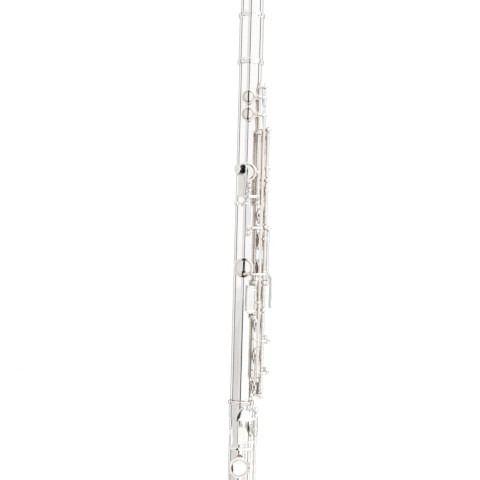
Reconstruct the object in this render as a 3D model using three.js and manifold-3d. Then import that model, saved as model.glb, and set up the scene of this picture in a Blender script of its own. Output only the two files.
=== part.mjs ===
// A concert flute in C, standing on its foot end: head joint, middle joint with its keywork, and foot joint.
// Millimetres. The bore runs along +Z from the foot end at z = 0 up to the crown, and the finger keys face -Y.
// Places across the flute are [up, side]: up is towards the finger keys (-Y), side is towards the player (-X).
// An angle round the tube is counted in degrees from the finger keys towards the player.
import * as THREE from "three";
import { mergeVertices } from "three/addons/utils/BufferGeometryUtils.js";
import Module from "manifold-3d";

const wasm = await Module();
wasm.setup();

// Tubes
const TUBE_R = 9.9;
const BORE_R = 9.4;
const TENON_R = 9.75;
const SOCKET_BORE_R = 10.05;
const SOCKET_R = 10.7;
const RING_R = 11.6;
const FOOT_TOP = 128;
const TENON_END = 114.2;
const BARREL = [421.7, 466.4];
const BARREL_BORE_R = 10.2;
const MIDDLE_TOP = 431;
const HEAD_BOTTOM = 431.5;
const HEAD_TOP = 647;
const HEAD_TOP_R = 9.0;
const BLOW_HOLE_Z = 597;
const CROWN_TOP = 662;

// Tone holes and cups
const SEAT = 11.7; // radius of the flat rim that a pad closes on
const HOLE_INSET = 2.1; // how much smaller a tone hole is than its cup
const CHIMNEY_WALL = 0.8;
const HOLE_SIDES = 14;
const PAD_GAP = 0.12; // pad to rim when the key is closed
const LIFT = 2.0; // how far an open cup stands off its hole
const THUMB_LIFT = 1.6;

// Hinges: hinge tubes turn on steels, which posts with ball heads carry
const HINGE_R = 1.6;
const HINGE_BORE_R = 1.15;
const STEEL_R = 0.85;
const BALL_R = 2.2;
const STEM_R = 1.2;
const END_GAP = 0.3;
const RIB = [10.2, 10.9];

const LINES = {
  main: [13.8, 12.4],
  trill: [9.4, 13.6],
  back: [5.4, 14.4],
  offset: [17.6, 8.2],
  flat: [-2.6, 14.9],
  foot: [7.98, 17.35],
};

const SILVER = new THREE.MeshStandardMaterial({ color: 0xdfe0e4, roughness: 0.12, metalness: 1 });
const STEEL = new THREE.MeshStandardMaterial({ color: 0xa9abb0, roughness: 0.25, metalness: 1 });
const SKIN = new THREE.MeshStandardMaterial({ color: 0xe0b876, roughness: 0.6, metalness: 0 });
const CORK = new THREE.MeshStandardMaterial({ color: 0xb98a58, roughness: 0.9, metalness: 0 });

const UP = new THREE.Vector3(0, 1, 0);
const flute = new THREE.Group();

// ---- solids ----

function manifoldFrom(positions, triangles) {
  return new wasm.Manifold(new wasm.Mesh({ numProp: 3, vertProperties: positions, triVerts: triangles }));
}

// A closed geometry as a solid, turned right side out.
function solid(geometry) {
  geometry.deleteAttribute("normal");
  geometry.deleteAttribute("uv");
  const merged = mergeVertices(geometry, 1e-4);
  const corners = merged.index.array;
  const kept = [];
  for (let i = 0; i < corners.length; i += 3) {
    const [a, b, c] = [corners[i], corners[i + 1], corners[i + 2]];
    if (a !== b && b !== c && a !== c) kept.push(a, b, c);
  }
  const positions = merged.attributes.position.array;
  const made = manifoldFrom(positions, new Uint32Array(kept));
  return made.volume() < 0 ? manifoldFrom(positions, new Uint32Array(kept.reverse())) : made;
}

function joined(pieces) {
  return pieces.reduce((whole, piece) => whole.add(piece));
}

function geometryOf(made) {
  const mesh = made.getMesh();
  const geometry = new THREE.BufferGeometry();
  geometry.setAttribute("position", new THREE.BufferAttribute(mesh.vertProperties, 3));
  geometry.setIndex(new THREE.BufferAttribute(mesh.triVerts, 1));
  geometry.computeVertexNormals();
  return geometry;
}

function addNode(name, made, material, parent = flute) {
  const mesh = new THREE.Mesh(geometryOf(made), material);
  mesh.name = name;
  parent.add(mesh);
  return mesh;
}

// ---- places ----

const radians = (degrees) => (degrees * Math.PI) / 180;
const outward = (angle) => new THREE.Vector3(-Math.sin(radians(angle)), -Math.cos(radians(angle)), 0);
const place = ([up, side], z) => new THREE.Vector3(-side, -up, z);
const polar = (angle, r) => [r * Math.cos(radians(angle)), r * Math.sin(radians(angle))];

// [across, out] seen by someone facing the tube at an angle, as [up, side]; across runs towards smaller angles.
function facing(angle, [across, out]) {
  const [c, s] = [Math.cos(radians(angle)), Math.sin(radians(angle))];
  return [out * c + across * s, out * s - across * c];
}

function seenFrom(angle, [up, side]) {
  const [c, s] = [Math.cos(radians(angle)), Math.sin(radians(angle))];
  return [up * s - side * c, up * c + side * s];
}

// ---- shapes ----

// A round bar along the flute.
function bar([up, side], z0, z1, radius, sides = 8) {
  const geometry = new THREE.CylinderGeometry(radius, radius, z1 - z0, sides);
  geometry.rotateX(Math.PI / 2);
  geometry.translate(-side, -up, (z0 + z1) / 2);
  return solid(geometry);
}

// A round bar between two points.
function peg(from, to, radius, sides = 8) {
  const along = to.clone().sub(from);
  const geometry = new THREE.CylinderGeometry(radius, radius, along.length(), sides);
  geometry.applyQuaternion(new THREE.Quaternion().setFromUnitVectors(UP, along.normalize()));
  const middle = from.clone().add(to).multiplyScalar(0.5);
  geometry.translate(middle.x, middle.y, middle.z);
  return solid(geometry);
}

// A shape turned about the flute's own axis; its profile is [radius, z] points that start and end on the axis.
function turned(profile, sides = 28) {
  const geometry = new THREE.LatheGeometry(profile.map(([r, z]) => new THREE.Vector2(r, z)), sides);
  geometry.rotateX(Math.PI / 2);
  return solid(geometry);
}

// A shape turned about the line out of the tube at an angle; its profile is [radius, distance out].
function standing(profile, angle, z, sides) {
  const geometry = new THREE.LatheGeometry(profile.map(([r, out]) => new THREE.Vector2(r, out)), sides);
  geometry.applyQuaternion(new THREE.Quaternion().setFromUnitVectors(UP, outward(angle)));
  geometry.translate(0, 0, z);
  return solid(geometry);
}

// A flat bar that follows [up, side] points across the flute.
function band(line, thickness, z0, z1) {
  const points = line.map(([up, side]) => new THREE.Vector2(-side, -up));
  const left = [];
  const right = [];
  points.forEach((point, i) => {
    const ahead = points[Math.min(i + 1, points.length - 1)];
    const along = ahead.clone().sub(points[Math.max(i - 1, 0)]).normalize();
    const offset = new THREE.Vector2(-along.y, along.x).multiplyScalar(thickness / 2);
    left.push(point.clone().add(offset));
    right.unshift(point.clone().sub(offset));
  });
  const geometry = new THREE.ExtrudeGeometry(new THREE.Shape([...left, ...right]), {
    depth: z1 - z0,
    bevelEnabled: false,
  });
  geometry.translate(0, 0, z0);
  return solid(geometry);
}

// A flat plate that faces an angle: its outline is drawn across and along the flute, from radius out.
function plate(outline, thickness, angle, out, across, z) {
  const settings = { depth: thickness, bevelEnabled: false, curveSegments: 3 };
  const geometry = new THREE.ExtrudeGeometry(outline, settings);
  const normal = outward(angle);
  const acrossAxis = new THREE.Vector3(-normal.y, normal.x, 0);
  const basis = new THREE.Matrix4().makeBasis(acrossAxis, new THREE.Vector3(0, 0, 1), normal);
  const origin = place(facing(angle, [across, out]), z);
  geometry.applyMatrix4(basis.setPosition(origin));
  return solid(geometry);
}

function roundedOutline(halfWidth, halfLength, corner) {
  const [w, h, c] = [halfWidth, halfLength, corner];
  const shape = new THREE.Shape();
  shape.moveTo(-w + c, -h);
  shape.lineTo(w - c, -h);
  shape.absarc(w - c, -h + c, c, -Math.PI / 2, 0);
  shape.lineTo(w, h - c);
  shape.absarc(w - c, h - c, c, 0, Math.PI / 2);
  shape.lineTo(-w + c, h);
  shape.absarc(-w + c, h - c, c, Math.PI / 2, Math.PI);
  shape.lineTo(-w, -h + c);
  shape.absarc(-w + c, -h + c, c, Math.PI, 1.5 * Math.PI);
  return shape;
}

// ---- tubes ----

const HOLES = {
  d_sharp_trill: { z: 391.2, angle: 111, cup: 5.8 },
  d_trill: { z: 376.3, angle: 111, cup: 5.8 },
  c_sharp: { z: 358, angle: 0, cup: 5.8 },
  thumb: { z: 326.2, angle: 112, cup: 8.5 },
  a_sharp: { z: 311, angle: 0, cup: 8.5 },
  a: { z: 290, angle: 0, cup: 8.5 },
  g_upper: { z: 268, angle: -16, cup: 8.8 },
  g_lower: { z: 243.8, angle: -16, cup: 8.8 },
  g_sharp: { z: 243.8, angle: 111.5, cup: 8.8 },
  f_sharp: { z: 220.8, angle: 0, cup: 8.8 },
  f: { z: 194.6, angle: 0, cup: 8.8 },
  e: { z: 167, angle: 0, cup: 8.8 },
  d: { z: 139.5, angle: 0, cup: 8.8 },
};
const FOOT_HOLES = {
  d_sharp_foot: { z: 104.9, angle: 21.6, cup: 9.0 },
  c_sharp_foot: { z: 72, angle: 109, cup: 9.1 },
  c_foot: { z: 37, angle: 109, cup: 9.1 },
};

// A tube with a chimney drawn out round each tone hole.
function tubeWithHoles(wall, bore, holes) {
  const list = Object.values(holes);
  const INSIDE = 4;
  const chimneys = list.map(({ z, angle, cup }) => {
    const r = cup - HOLE_INSET + CHIMNEY_WALL;
    return standing([[0, INSIDE], [r, INSIDE], [r, SEAT], [0, SEAT]], angle, z, HOLE_SIDES);
  });
  const drills = list.map(({ z, angle, cup }) => {
    const r = cup - HOLE_INSET;
    return standing([[0, INSIDE - 2], [r, INSIDE - 2], [r, SEAT + 2], [0, SEAT + 2]], angle, z, HOLE_SIDES);
  });
  return joined([wall, ...chimneys]).subtract(joined([bore, ...drills]));
}

addNode(
  "middle_tube",
  tubeWithHoles(
    turned([
      [0, TENON_END], [TENON_R, TENON_END], [TENON_R, FOOT_TOP + END_GAP], [TUBE_R, FOOT_TOP + END_GAP],
      [TUBE_R, MIDDLE_TOP], [0, MIDDLE_TOP],
    ]),
    bar([0, 0], TENON_END - 1, MIDDLE_TOP + 1, BORE_R, 28),
    HOLES,
  ),
  SILVER,
);

addNode(
  "barrel",
  turned([
    [0, BARREL[0]], [RING_R, BARREL[0]], [RING_R, BARREL[0] + 3.4], [SOCKET_R, BARREL[0] + 4],
    [SOCKET_R, BARREL[1] - 4], [RING_R, BARREL[1] - 3.4], [RING_R, BARREL[1]], [0, BARREL[1]],
  ]).subtract(bar([0, 0], BARREL[0] - 1, BARREL[1] + 1, BARREL_BORE_R, 28)),
  SILVER,
);

const SOCKET_BOTTOM = 113.2;
addNode(
  "foot_tube",
  tubeWithHoles(
    turned([
      [0, 0], [RING_R - 0.6, 0], [RING_R - 0.6, 2.6], [TUBE_R, 3.2], [TUBE_R, SOCKET_BOTTOM - 0.6],
      [SOCKET_R, SOCKET_BOTTOM], [SOCKET_R, FOOT_TOP - 3.8], [RING_R, FOOT_TOP - 3.2], [RING_R, FOOT_TOP - 0.6],
      [RING_R - 0.6, FOOT_TOP], [0, FOOT_TOP],
    ]),
    joined([
      bar([0, 0], -1, FOOT_TOP + 1, BORE_R, 28),
      bar([0, 0], SOCKET_BOTTOM + 0.6, FOOT_TOP + 1, SOCKET_BORE_R, 28),
    ]),
    FOOT_HOLES,
  ),
  SILVER,
);

// ---- posts, ribs and steels ----

// A post: a ball head bored for the steel, on a stem that slants down to the rib.
function post(line, z, footAngle, footR = RIB[0] + 0.3) {
  const [up, side] = line;
  const ball = new THREE.SphereGeometry(BALL_R, 8, 5);
  ball.rotateX(Math.PI / 2);
  ball.translate(-side, -up, z);
  return joined([solid(ball), peg(place(line, z), place(polar(footAngle, footR), z), STEM_R, 6)]);
}

const holeThrough = (line, z) => bar(line, z - BALL_R - 1, z + BALL_R + 1, HINGE_BORE_R, 8);

// A strip that lies along the tube between two angles.
function ribStrip(angles, z0, z1) {
  const [from, to] = angles.map((angle) => -Math.PI / 2 - radians(angle));
  const shape = new THREE.Shape();
  shape.absarc(0, 0, RIB[1], from, to, true);
  shape.absarc(0, 0, RIB[0], to, from, false);
  const geometry = new THREE.ExtrudeGeometry(shape, { depth: z1 - z0, bevelEnabled: false, curveSegments: 4 });
  geometry.translate(0, 0, z0);
  return solid(geometry);
}

const MAIN_POSTS = [364, 320.3, 279.5, 231.5, 207.7, 133.4];
const TRILL_POSTS = [401, 147];
const BACK_POSTS = [361, 300.5, 231, 201.3];
const OFFSET_POSTS = [278.5, 231.3];
const FLAT_POSTS = [314.4, 274];
const FOOT_POSTS = { foot_post_top: 121.5, foot_post_middle: 54.5, foot_post_bottom: 24 };

function ribWithPosts(angles, z0, z1, groups) {
  const posts = groups.flatMap(({ line, at, foot, out }) => at.map((z) => post(line, z, foot, out)));
  const bores = groups.flatMap(({ line, at }) => at.map((z) => holeThrough(line, z)));
  return joined([ribStrip(angles, z0, z1), ...posts]).subtract(joined(bores));
}

addNode(
  "key_rib",
  ribWithPosts([47.5, 63.5], 131.5, 405, [
    { line: LINES.main, at: MAIN_POSTS, foot: 50.5 },
    { line: LINES.trill, at: TRILL_POSTS, foot: 55.3 },
    { line: LINES.back, at: BACK_POSTS, foot: 60 },
    { line: LINES.offset, at: OFFSET_POSTS, foot: 50.5, out: RIB[0] + 0.7 },
  ]),
  SILVER,
);
addNode(
  "thumb_rib",
  ribWithPosts([95, 105], 271, 317, [{ line: LINES.flat, at: FLAT_POSTS, foot: 99.9 }]),
  SILVER,
);

const FOOT_LINE_ANGLE = 65.3;
const FLANGE_R = 2.4;
for (const [name, z] of Object.entries(FOOT_POSTS)) {
  const onSocket = z > SOCKET_BOTTOM;
  const base = (onSocket ? SOCKET_R : TUBE_R) + END_GAP;
  const [low, high] = [base - 1, base + 0.9].map((r) => place(polar(FOOT_LINE_ANGLE, r), z));
  const whole = joined([post(LINES.foot, z, FOOT_LINE_ANGLE, base), peg(low, high, FLANGE_R, 12)]);
  const cleared = whole.subtract(bar([0, 0], z - 5, z + 5, base, 40));
  addNode(name, cleared.subtract(holeThrough(LINES.foot, z)), SILVER);
}

const STEELS = {
  c_sharp_steel: { line: LINES.main, from: 320.7, to: 366 },
  lower_steel: { line: LINES.main, from: 131.4, to: 231.2 },
  offset_steel: { line: LINES.offset, from: 229.3, to: 280.5 },
  thumb_steel: { line: LINES.back, from: 298.5, to: 363 },
  thumb_flat_steel: { line: LINES.flat, from: 272, to: 316.6 },
  side_steel: { line: LINES.back, from: 199.3, to: 233 },
  foot_steel: { line: LINES.foot, from: 22, to: 123.5 },
  d_sharp_trill_steel: { line: LINES.trill, from: 145, to: 403 },
};
for (const [name, { line, from, to }] of Object.entries(STEELS)) {
  addNode(name, bar(line, from, to, STEEL_R, 8), STEEL);
}

// ---- keys ----

const ARM_OUT = SEAT + 4.3;
const ARM_THICK = 1.5;

function cupShell({ z, angle, cup }) {
  return standing(
    [
      [0, SEAT + 2.75], [cup - 0.6, SEAT + 2.75], [cup - 0.6, SEAT + 1.1], [cup, SEAT + 1.1],
      [cup, SEAT + 3.0], [cup - 0.8, SEAT + 3.6], [0, SEAT + 3.8],
    ],
    angle, z, 16,
  );
}

function padFor({ z, angle, cup }) {
  const r = cup - 0.9;
  return standing([[0, SEAT + PAD_GAP], [r, SEAT + PAD_GAP], [r, SEAT + 2.5], [0, SEAT + 2.5]], angle, z, 14);
}

// The arm from a hinge tube over the top of a cup.
function cupArm(line, { z, angle }, width = 3) {
  const [across, out] = seenFrom(angle, line);
  const path = [
    [across, out], [across * 0.9, out + 0.55 * (ARM_OUT + 0.1 - out)],
    [across * 0.62, ARM_OUT + 0.1], [0, ARM_OUT - 0.05],
  ];
  return band(path.map((point) => facing(angle, point)), ARM_THICK, z - width / 2, z + width / 2);
}

// The turn about +Z that lifts a cup off its hole by a height.
function liftTurn([up, side], { angle }, lift) {
  const out = outward(angle);
  const [x, y] = [out.x * SEAT + side, out.y * SEAT + up];
  return lift / (-y * out.x + x * out.y);
}

// A key on its hinge: a tube bored for its steel, with its cups, arms and touches, and its pads under the cups.
function addKey(name, { line, tubes, holes = [], extras = [], pinned = [], lift = 0 }) {
  const hinge = new THREE.Group();
  hinge.position.set(-line[1], -line[0], 0);
  hinge.rotation.z = lift ? liftTurn(line, holes[0][1], lift) : 0;
  flute.add(hinge);
  const outside = joined([
    ...tubes.map(([from, to]) => bar(line, from, to, HINGE_R)),
    ...holes.flatMap(([, hole]) => [cupShell(hole), cupArm(line, hole)]),
    ...extras,
  ]);
  const bores = tubes.map(([from, to]) => bar(line, from - 1, to + 1, HINGE_BORE_R, 8));
  const whole = pinned.length
    ? joined([outside, ...pinned.map(([from, to]) => bar(line, from, to, STEEL_R, 8))])
    : outside.subtract(joined(bores));
  addNode(name, whole.translate([line[1], line[0], 0]), SILVER, hinge);
  for (const [padName, hole] of holes) {
    addNode(padName, padFor(hole).translate([line[1], line[0], 0]), SKIN, hinge);
  }
  return hinge;
}

const touchDisc = (r) => new THREE.Shape().absellipse(0, 0, r, r, 0, 2 * Math.PI);

addKey("c_sharp_key", {
  line: LINES.main,
  tubes: [[322.8, 361.5]],
  holes: [["c_sharp_pad", HOLES.c_sharp]],
  extras: [
    cupArm(LINES.main, { z: 330.5, angle: 0 }),
    plate(touchDisc(6), 1.4, 0, ARM_OUT - 0.2, 0, 330.5),
  ],
  lift: LIFT,
});

addKey("a_sharp_key", {
  line: LINES.main,
  tubes: [[303.2, 317.8], [234, 277]],
  pinned: [[231.6, 320.2]],
  holes: [["a_sharp_pad", HOLES.a_sharp]],
  extras: [band([LINES.main, [13.2, 15.9], [11.6, 17.6]], ARM_THICK, 268, 270.6)],
  lift: LIFT,
});
addKey("a_key", { line: LINES.main, tubes: [[282, 302.9]], holes: [["a_pad", HOLES.a]], lift: LIFT });
addKey("g_key", {
  line: LINES.offset,
  tubes: [[240.7, 276]],
  holes: [["g_upper_pad", HOLES.g_upper], ["g_lower_pad", HOLES.g_lower]],
  lift: LIFT,
});

const gSharpHinge = addKey("g_sharp_key", {
  line: LINES.offset,
  tubes: [[233.8, 240.4]],
  extras: [
    cupShell(HOLES.g_sharp),
    band(
      [
        LINES.offset, [18.6, 10.8], [17.6, 14.2], [15.2, 16.4], [11.5, 17.6], [6.5, 18.2], [1.5, 17.8],
        [-2.5, 16.2], [-5.75, 14.75],
      ],
      ARM_THICK, 236.8, 240.2,
    ),
    band([LINES.offset, [20.8, 4.5], [23.6, 0], [24.9, -4]], ARM_THICK, 234, 237.6),
    plate(roundedOutline(4.4, 13.5, 3.5), 1.5, 5, 24.4, 6, 222),
  ],
});
const gSharpPad = padFor(HOLES.g_sharp).translate([LINES.offset[1], LINES.offset[0], 0]);
addNode("g_sharp_pad", gSharpPad, SKIN, gSharpHinge);

const RIGHT_HAND = { f_sharp: [210.2, 229], f: [185, 205.2], e: [157.5, 184.7], d: [135.9, 157.2] };
for (const [note, span] of Object.entries(RIGHT_HAND)) {
  addKey(`${note}_key`, { line: LINES.main, tubes: [span], holes: [[`${note}_pad`, HOLES[note]]], lift: LIFT });
}

// A trill key's arm climbs over the main hinge line to a small touch between two finger keys.
function trillTouch(z, halfLength) {
  return [
    band(
      [LINES.trill, [11.6, 16.8], [15.6, 16.8], [19, 14], [20.9, 9], [21, 3]],
      ARM_THICK, z - 1.4, z + 1.4,
    ),
    plate(roundedOutline(5.5, halfLength, 3), 1.4, 0, 20.4, 0, z),
  ];
}
addKey("d_trill_key", {
  line: LINES.trill,
  tubes: [[176, 383.8]],
  holes: [["d_trill_pad", HOLES.d_trill]],
  extras: trillTouch(181, 4),
});
// The D sharp trill key has its cup above and its lever below the D trill key, whose tube its steel runs through.
addKey("d_sharp_trill_key", {
  line: LINES.trill,
  tubes: [[384.1, 398.5]],
  holes: [["d_sharp_trill_pad", HOLES.d_sharp_trill]],
});
addKey("d_sharp_trill_lever", { line: LINES.trill, tubes: [[149.5, 175.7]], extras: trillTouch(153.4, 3.6) });

addKey("thumb_key", {
  line: LINES.back,
  tubes: [[303, 358.5]],
  holes: [["thumb_pad", HOLES.thumb]],
  extras: [
    band([LINES.back, [4.6, 17.4], [0.5, 18.9], [-4.5, 18.2], [-9, 15.2]], ARM_THICK, 303.4, 306.6),
    plate(roundedOutline(3.6, 9.7, 2.4), 1.4, 127, 16.4, 0, 314.2),
  ],
  lift: THUMB_LIFT,
});

const FLAT_TOUCH_OUT = 20.6;
const flatRest = facing(107, [-8.6, 13.6]);
const flatRestBall = new THREE.SphereGeometry(2.2, 10, 8);
flatRestBall.translate(-flatRest[1], -flatRest[0], 299.2);
addKey("thumb_flat_lever", {
  line: LINES.flat,
  tubes: [[276.5, 311.9]],
  extras: [
    band([LINES.flat, facing(112, [2.6, 18]), facing(112, [1.7, 21.3])], ARM_THICK, 307.8, 311.6),
    plate(roundedOutline(1.3, 10.5, 1), 1.4, 112, FLAT_TOUCH_OUT, 1.6, 320),
    plate(roundedOutline(6, 4, 2.6), 1.4, 112, FLAT_TOUCH_OUT, -3.6, 328.1),
    band([LINES.flat, [-0.5, 17.8], [5, 18.4], [9.6, 17.6]], ARM_THICK, 276.8, 280),
    band([LINES.flat, facing(107, [-3, 15.6]), flatRest], ARM_THICK, 298.2, 300.2),
    solid(flatRestBall),
  ],
});

addKey("side_lever", {
  line: LINES.back,
  tubes: [[203.7, 228.6]],
  extras: [
    ...[205.4, 223.6].map((z) =>
      band([LINES.back, facing(95, [6.4, 17]), facing(95, [2.6, 18.4])], ARM_THICK, z, z + 2.8)),
    plate(roundedOutline(3.5, 12, 2.2), 1.4, 95, 17.7, 1.6, 216.6),
    band([LINES.back, [6.6, 17], [9.9, 17.5]], ARM_THICK, 213, 215.8),
  ],
});

// ---- foot keys ----

const FOOT_TOUCH_OUT = 17.6;
const footArm = (z, reach) =>
  band(
    [LINES.foot, ...[[11.4, 17.2], [8, 18.2], [reach, 18.3]].map((point) => facing(107, point))],
    ARM_THICK, z, z + 3,
  );
const halfMoon = new THREE.Shape();
halfMoon.moveTo(-6.8, -5.2);
halfMoon.lineTo(6.8, -5.2);
halfMoon.absellipse(0, -2.6, 6.8, 8, 0, Math.PI);

addKey("d_sharp_foot_key", {
  line: LINES.foot,
  tubes: [[99.5, 119]],
  holes: [["d_sharp_foot_pad", FOOT_HOLES.d_sharp_foot]],
  extras: [footArm(113, 4), plate(halfMoon, 1.4, 107, FOOT_TOUCH_OUT, 2.7, 117.4)],
});
addKey("c_sharp_foot_key", {
  line: LINES.foot,
  tubes: [[57, 99.2]],
  holes: [["c_sharp_foot_pad", FOOT_HOLES.c_sharp_foot]],
  extras: [footArm(93, 1), plate(roundedOutline(4.1, 7.8, 2.6), 1.4, 107, FOOT_TOUCH_OUT, 0.6, 100.4)],
  lift: LIFT,
});

const ROLLER = { across: -8.4, out: 17, z0: 92.6, z1: 106 };
const rollerLine = facing(107, [ROLLER.across, ROLLER.out]);
const lowCHinge = addKey("c_foot_key", {
  line: LINES.foot,
  tubes: [[26.5, 52]],
  holes: [["c_foot_pad", FOOT_HOLES.c_foot]],
  extras: [
    band([LINES.foot, facing(107, [12, 18]), facing(107, [9.2, 20])], ARM_THICK, 48.6, 51.8),
    plate(roundedOutline(1.3, 21.3, 1), 1.5, 107, 19.3, 9.2, 69.5),
    band(
      [[9.2, 20], [2, 20.4], [-5, 19.2], [-8.4, 17]].map((point) => facing(107, point)),
      ARM_THICK, 87.6, 90.8,
    ),
    bar(rollerLine, 88.4, 108, 0.8, 8),
  ],
  lift: LIFT,
});
const roller = bar(rollerLine, ROLLER.z0, ROLLER.z1, 2, 12).subtract(bar(rollerLine, 90, 108, 1.1, 10));
addNode("c_roller", roller.translate([LINES.foot[1], LINES.foot[0], 0]), SILVER, lowCHinge);

// ---- head joint ----

const blowHole = (out0, out1, rx, rz) => {
  const geometry = new THREE.CylinderGeometry(1, 1, out1 - out0, 20);
  geometry.scale(rx, 1, rz);
  geometry.translate(0, -(out0 + out1) / 2, BLOW_HOLE_Z);
  return solid(geometry);
};
addNode(
  "head_tube",
  turned([[0, HEAD_BOTTOM], [TENON_R, HEAD_BOTTOM], [TUBE_R, BARREL[1]], [HEAD_TOP_R, HEAD_TOP], [0, HEAD_TOP]])
    .subtract(
      turned([
        [0, HEAD_BOTTOM - 1], [BORE_R - 0.1, HEAD_BOTTOM - 1], [BORE_R, BARREL[1]],
        [HEAD_TOP_R - 0.5, HEAD_TOP + 1], [0, HEAD_TOP + 1],
      ]),
    )
    .subtract(blowHole(2, 14, 5, 6)),
  SILVER,
);
addNode(
  "lip_riser",
  blowHole(8, 15, 6.2, 7.2)
    .intersect(bar([0, 0], 580, 612, 13, 32))
    .subtract(blowHole(6, 16, 5, 6))
    .subtract(bar([0, 0], 580, 612, 9.75, 28)),
  SILVER,
);
const lipShell = bar([0, 0], 570, 624, 14.8, 48).subtract(bar([0, 0], 568, 626, 13.4, 48));
addNode("lip_plate", lipShell.intersect(blowHole(2, 20, 12.5, 22)).subtract(blowHole(6, 20, 5, 6)), SILVER);

addNode(
  "crown",
  turned([
    [0, 641], [8.1, 641], [8.1, HEAD_TOP + END_GAP], [9.6, HEAD_TOP + END_GAP], [10.1, 649.4], [9.1, 651],
    [9.7, 653], [9.7, 656], [7.6, 659.4], [3.4, CROWN_TOP], [0, CROWN_TOP],
  ], 20).subtract(bar([0, 0], 640, 655, 1.9, 10)),
  SILVER,
);
addNode(
  "stopper_screw",
  turned([[0, 614], [8.1, 614], [8.1, 615.2], [1.5, 615.2], [1.5, 650], [0, 650]], 20),
  STEEL,
);
addNode(
  "stopper_cork",
  turned([[0, 615.6], [8.3, 615.6], [8.2, 629], [0, 629]], 20).subtract(bar([0, 0], 614, 630, 1.8, 10)),
  CORK,
);
addNode(
  "stopper_nut",
  turned([[0, 629.4], [5.2, 629.4], [5.2, 631.4], [0, 631.4]], 12).subtract(bar([0, 0], 628, 633, 1.8, 10)),
  SILVER,
);

export default flute;
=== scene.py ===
"""A concert flute standing on its foot end in a white studio.

Places across the flute are (up, side) in millimetres: up is towards the finger keys (-Y), side is
towards the player (-X). An angle round the tube counts from the finger keys towards the player, in
degrees.
"""
import math

import bpy
from mathutils import Matrix, Vector


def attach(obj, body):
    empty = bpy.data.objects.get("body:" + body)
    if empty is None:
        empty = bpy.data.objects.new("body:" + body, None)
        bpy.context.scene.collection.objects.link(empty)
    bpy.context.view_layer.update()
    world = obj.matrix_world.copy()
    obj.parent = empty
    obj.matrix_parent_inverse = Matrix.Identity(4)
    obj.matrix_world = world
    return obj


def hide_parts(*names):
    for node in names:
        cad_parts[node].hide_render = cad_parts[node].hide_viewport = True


MM = 0.001
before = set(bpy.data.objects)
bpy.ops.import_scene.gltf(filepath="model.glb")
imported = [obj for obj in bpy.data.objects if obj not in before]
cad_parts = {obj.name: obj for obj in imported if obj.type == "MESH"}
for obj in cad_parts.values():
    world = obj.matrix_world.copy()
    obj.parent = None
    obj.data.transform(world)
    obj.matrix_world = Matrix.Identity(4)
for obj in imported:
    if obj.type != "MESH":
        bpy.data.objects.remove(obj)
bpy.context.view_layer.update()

# ---- driving sizes, millimetres ----
TUBE_R, BORE_R, TENON_R = 9.9, 9.4, 9.75
SOCKET_R, SOCKET_BORE_R, RING_R = 10.7, 10.05, 11.6
FOOT_TOP, TENON_END, SOCKET_BOTTOM = 128.0, 114.2, 113.2
BARREL_LOW, BARREL_HIGH, BARREL_BORE_R = 421.7, 466.4, 10.2
MIDDLE_TOP = 431.0
HEAD_LOW, HEAD_HIGH, HEAD_TOP_R = 431.5, 647.0, 9.0
BLOW_Z, BLOW_ACROSS, BLOW_ALONG = 597.0, 5, 6
LIP_ACROSS, LIP_ALONG, LIP_BEND_R = 12.4, 21.8, 13.4
BEAD_DEPTH = 0.3
SEAT = 11.7  # the tone holes' rims, from the tube's centre line
HOLE_INSET, CHIMNEY_WALL, PAD_GAP = 2.1, 0.8, 0.12
LIFT, THUMB_LIFT = 2.0, 1.6
HINGE_R, HINGE_BORE_R, STEEL_R, BALL_R, STEM_R = 1.6, 1.0, 0.85, 2.25, 1.15
COLLAR_R, COLLAR_HALF, COLLAR_ROOM = HINGE_R + 0.55, 1.5, 2.1
SCREW_R, SLOT_HALF = 1.05, 0.16
RIB_IN_R, RIB_OUT_R, POST_FOOT_R = 9.8, 10.95, 10.8
NEEDLE_ROOT_DROP, NEEDLE_TIP_DROP = 3.1, 2.2
EDGE = 0.12  # the broken edges of rods, tubes and ribs
ARM_OUT = SEAT + 4.3
ARM_THICK, ARM_SLIM = 1.8, 0.85
CUP_ARM_ROOT, CUP_ARM_TIP, WEB_THICK = 3.1, 2.0, 0.9
TOUCH_THICK = 1.4
FOOT_TOUCH_OUT = 17.6

# angles round the tube, degrees
FOOT_LINE_ANGLE = 65.3
FOOT_TOUCH_ANGLE = 107
FLAT_TOUCH_ANGLE, FLAT_REST_ANGLE = 112, 107
SIDE_TOUCH_ANGLE = 95

# how finely round shapes are drawn
TUBE_SIDES, HOLE_SIDES, HINGE_SIDES = 192, 56, 32
CURVE_STEPS = 6
SMOOTH_ANGLE = math.radians(38)
ON_AXIS = 1e-9

# lines that the steels lie on: (up, side)
LINES = {
    "main": (13.8, 12.4),
    "trill": (9.4, 13.6),
    "back": (5.4, 14.4),
    "offset": (17.6, 8.2),
    "flat": (-2.6, 14.9),
    "foot": (7.98, 17.35),
}
# tone holes: place along the flute, angle, radius of the cup
HOLES = {
    "d_sharp_trill": (391.2, 111, 5.8),
    "d_trill": (376.3, 111, 5.8),
    "c_sharp": (358, 0, 5.8),
    "thumb": (326.2, 112, 8.5),
    "a_sharp": (311, 0, 8.5),
    "a": (290, 0, 8.5),
    "g_upper": (268, -16, 8.8),
    "g_lower": (243.8, -16, 8.8),
    "g_sharp": (243.8, 111.5, 8.8),
    "f_sharp": (220.8, 0, 8.8),
    "f": (194.6, 0, 8.8),
    "e": (167, 0, 8.8),
    "d": (139.5, 0, 8.8),
}
FOOT_HOLES = {
    "d_sharp_foot": (104.9, 21.6, 9.0),
    "c_sharp_foot": (72, 109, 9.1),
    "c_foot": (37, 109, 9.1),
}


# ---- materials ----
def node_tree(name):
    material = bpy.data.materials.new(name)
    material.use_nodes = True
    tree = material.node_tree
    return material, tree, tree.nodes["Principled BSDF"]


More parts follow.
